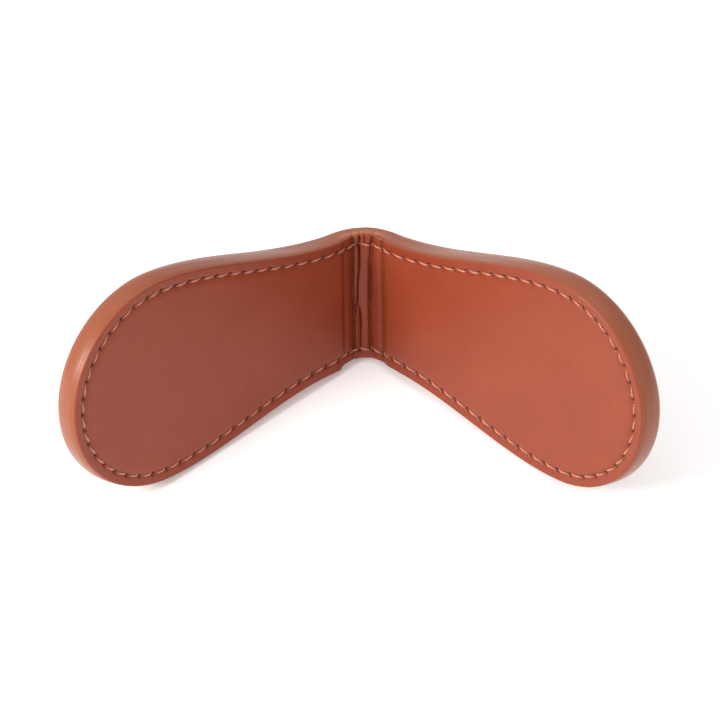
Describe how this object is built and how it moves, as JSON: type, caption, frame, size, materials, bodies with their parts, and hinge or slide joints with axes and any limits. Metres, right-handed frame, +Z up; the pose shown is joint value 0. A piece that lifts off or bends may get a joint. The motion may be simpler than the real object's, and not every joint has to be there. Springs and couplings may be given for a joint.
{
  "type": "folding leather clip",
  "caption": "Small folding leather clip: pear-shaped, padded, stitched leaves on a soft leather spine close face to face and are held by magnets inside.",
  "frame": {"origin": "middle of the base: the part stands half open on the lower rims of its leaves and the foot of its spine, as in the picture", "axes": "+Z up, +X to the viewer's right along the span of the open leaves, +Y away from the viewer; the open side faces -Y and the spine is at +Y, leaning back 14.4 degrees"},
  "size_m": [0.1048, 0.0512, 0.0399],
  "materials": {
    "cover_leather": "smooth, semi-gloss",
    "lining_leather": "smooth, semi-gloss",
    "thread": "waxed, tonal",
    "foam": "matte felt",
    "board": "matte fibre board",
    "magnet_nickel": "nickel plate",
    "tape": "matte"
  },
  "bodies": {
    "spine": {"spine_cover": "cover_leather", "spine_filler": "foam", "spine_lining": "lining_leather", "spine_stitching_top": "thread", "spine_stitching_bottom": "thread"},
    "left_leaf": {"left_cover": "cover_leather", "left_lining": "lining_leather", "left_stitching": "thread", "left_back_stitching": "thread", "left_foam_pad": "foam", "left_stiffener": "board", "left_magnet_inner": "magnet_nickel", "left_magnet_outer": "magnet_nickel", "left_magnet_tape": "tape"},
    "right_leaf": {"right_cover": "cover_leather", "right_lining": "lining_leather", "right_stitching": "thread", "right_back_stitching": "thread", "right_foam_pad": "foam", "right_stiffener": "board", "right_magnet_inner": "magnet_nickel", "right_magnet_outer": "magnet_nickel", "right_magnet_tape": "tape"}
  },
  "joints": [
    {"name": "left_fold", "type": "hinge", "parent": "spine", "child": "left_leaf", "pos_m": [-0.0071, 0.01943, 0.01263], "axis": [0, -0.2482, -0.9687], "range_deg": [-48.8, 42.9], "deforming": ["spine_lining", "spine_stitching_top", "spine_stitching_bottom"]},
    {"name": "right_fold", "type": "hinge", "parent": "spine", "child": "right_leaf", "pos_m": [0.0071, 0.01943, 0.01263], "axis": [0, 0.2482, 0.9687], "range_deg": [-48.8, 42.9], "deforming": ["spine_lining", "spine_stitching_top", "spine_stitching_bottom"]}
  ]
}
